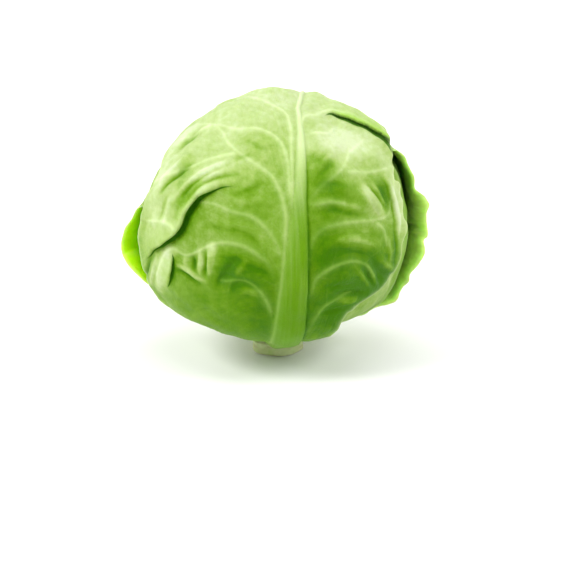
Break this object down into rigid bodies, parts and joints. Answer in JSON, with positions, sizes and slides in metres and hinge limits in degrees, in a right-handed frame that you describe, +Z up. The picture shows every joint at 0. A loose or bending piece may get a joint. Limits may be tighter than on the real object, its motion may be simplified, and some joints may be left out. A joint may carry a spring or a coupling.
{
  "type": "cabbage head",
  "caption": "Whole head of white cabbage with overlapping wrapper leaves, raised midribs and curled margins, standing on its cut stalk.",
  "frame": {"origin": "middle of the stalk's flat cut face, on the surface that the head stands on", "axes": "+Z up through the head to its tip, -Y the front, where the outermost leaf's midrib faces, +X to the right seen from the front"},
  "size_m": [0.1951, 0.1802, 0.1724],
  "materials": {
    "stalk": "pale green, slightly rough, freshly cut",
    "heart": "pale yellow-green, waxy",
    "leaf_under_left": "green, waxy",
    "leaf_under_right": "green, waxy",
    "leaf_left": "bright green, waxy",
    "leaf_right": "bright green, waxy",
    "leaf_front": "light green with paler veins, waxy"
  },
  "bodies": {
    "root": {"stalk": "stalk", "heart": "heart", "leaf_under_left": "leaf_under_left", "leaf_under_right": "leaf_under_right", "leaf_left": "leaf_left", "leaf_right": "leaf_right", "leaf_front": "leaf_front"}
  },
  "joints": []
}
